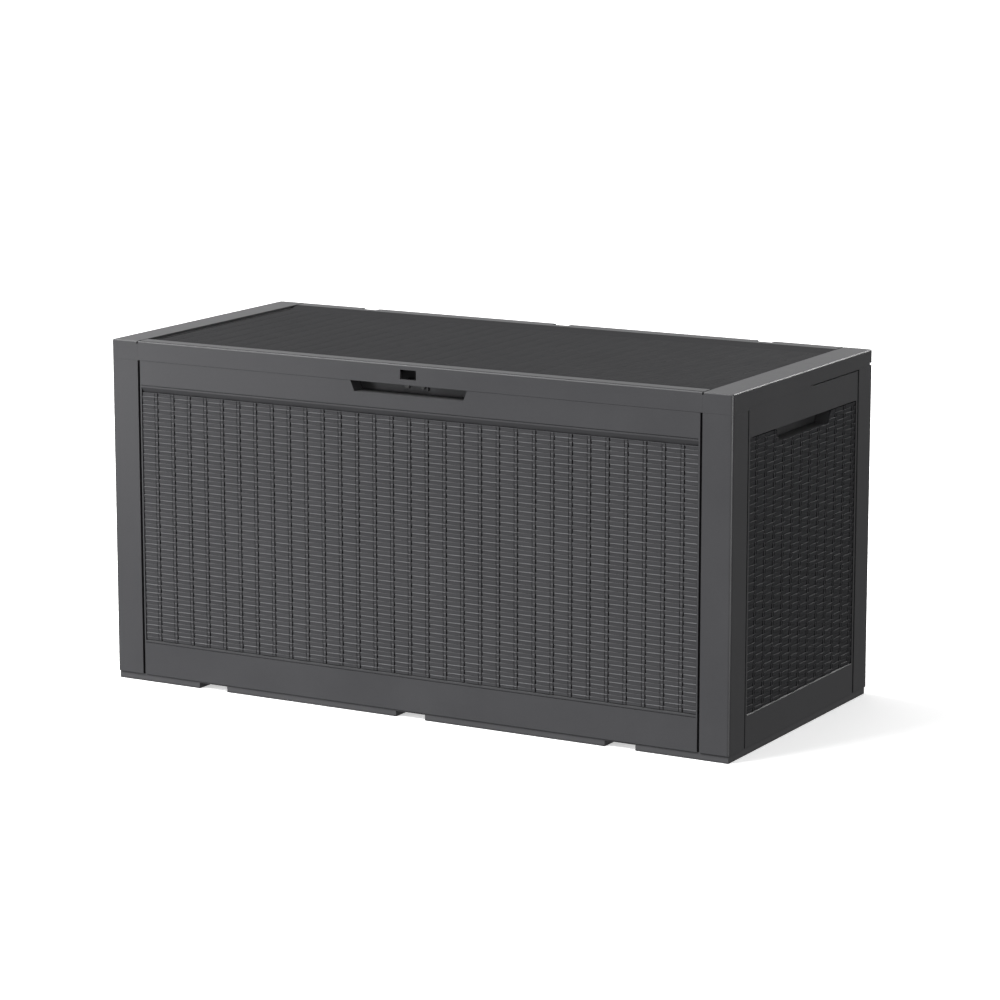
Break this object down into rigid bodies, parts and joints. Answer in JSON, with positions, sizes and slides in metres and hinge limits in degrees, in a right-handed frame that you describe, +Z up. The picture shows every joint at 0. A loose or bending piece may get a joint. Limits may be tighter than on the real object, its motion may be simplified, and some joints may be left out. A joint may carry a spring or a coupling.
{
  "type": "deck storage box",
  "caption": "Outdoor resin storage box with woven-look walls, corner posts, a rear-hinged lid with slotted stays, side hand holds, a front grip slot and a padlock tab.",
  "frame": {"origin": "centre of the footprint, on the plane that the box stands on", "axes": "+X along the long front to the right as seen by someone facing the front, +Y from the front to the rear, +Z up"},
  "size_m": [1.2, 0.543, 0.605],
  "materials": {
    "wall_polypropylene": "moulded polypropylene, fine texture, dark grey",
    "post_polypropylene": "moulded polypropylene, fine texture, dark grey",
    "lid_polypropylene": "moulded polypropylene, fine texture, dark grey",
    "floor_polypropylene": "moulded polypropylene, dark grey",
    "fitting_nylon": "moulded nylon, near black",
    "stay_nylon": "moulded nylon, near black",
    "tube_steel": "black powder coat",
    "plated_steel": "zinc plated, satin"
  },
  "bodies": {
    "box": {"front_panel": "wall_polypropylene", "rear_panel": "wall_polypropylene", "left_side_panel": "wall_polypropylene", "right_side_panel": "wall_polypropylene", "front_left_post": "post_polypropylene", "front_right_post": "post_polypropylene", "rear_left_post": "post_polypropylene", "rear_right_post": "post_polypropylene", "floor_panel": "floor_polypropylene", "padlock_tab": "fitting_nylon", "padlock_tab_screws": "plated_steel", "hinge_bracket_screws": "plated_steel", "left_stay_stud": "plated_steel", "right_stay_stud": "plated_steel", "left_hinge_bracket": "fitting_nylon", "centre_hinge_bracket": "fitting_nylon", "right_hinge_bracket": "fitting_nylon", "left_hinge_pin": "plated_steel", "centre_hinge_pin": "plated_steel", "right_hinge_pin": "plated_steel"},
    "lid": {"lid_panel": "lid_polypropylene", "left_lid_end_rail": "lid_polypropylene", "right_lid_end_rail": "lid_polypropylene", "front_lid_tube": "tube_steel", "rear_lid_tube": "tube_steel", "hinge_leaf_screws": "plated_steel", "left_hinge_leaf": "fitting_nylon", "centre_hinge_leaf": "fitting_nylon", "right_hinge_leaf": "fitting_nylon", "left_stay_bracket": "fitting_nylon", "right_stay_bracket": "fitting_nylon", "left_stay_pivot_pin": "plated_steel", "right_stay_pivot_pin": "plated_steel"},
    "left_stay": {"left_stay_arm": "stay_nylon"},
    "right_stay": {"right_stay_arm": "stay_nylon"}
  },
  "joints": [
    {"name": "lid_hinge", "type": "hinge", "parent": "box", "child": "lid", "pos_m": [0, 0.262, 0.593], "axis": [-1, 0, 0], "range_deg": [0, 100]},
    {"name": "left_stay_pivot", "type": "hinge", "parent": "lid", "child": "left_stay", "pos_m": [-0.569, 0.11209, 0.58776], "axis": [-1, 0, 0], "range_deg": [-50, 0]},
    {"name": "right_stay_pivot", "type": "hinge", "parent": "lid", "child": "right_stay", "pos_m": [0.569, 0.11209, 0.58776], "axis": [-1, 0, 0], "range_deg": [-50, 0]}
  ],
  "couplings": [
    {"joint": "left_stay_pivot", "follows": "lid_hinge", "ratio": -0.5},
    {"joint": "right_stay_pivot", "follows": "lid_hinge", "ratio": -0.5}
  ]
}
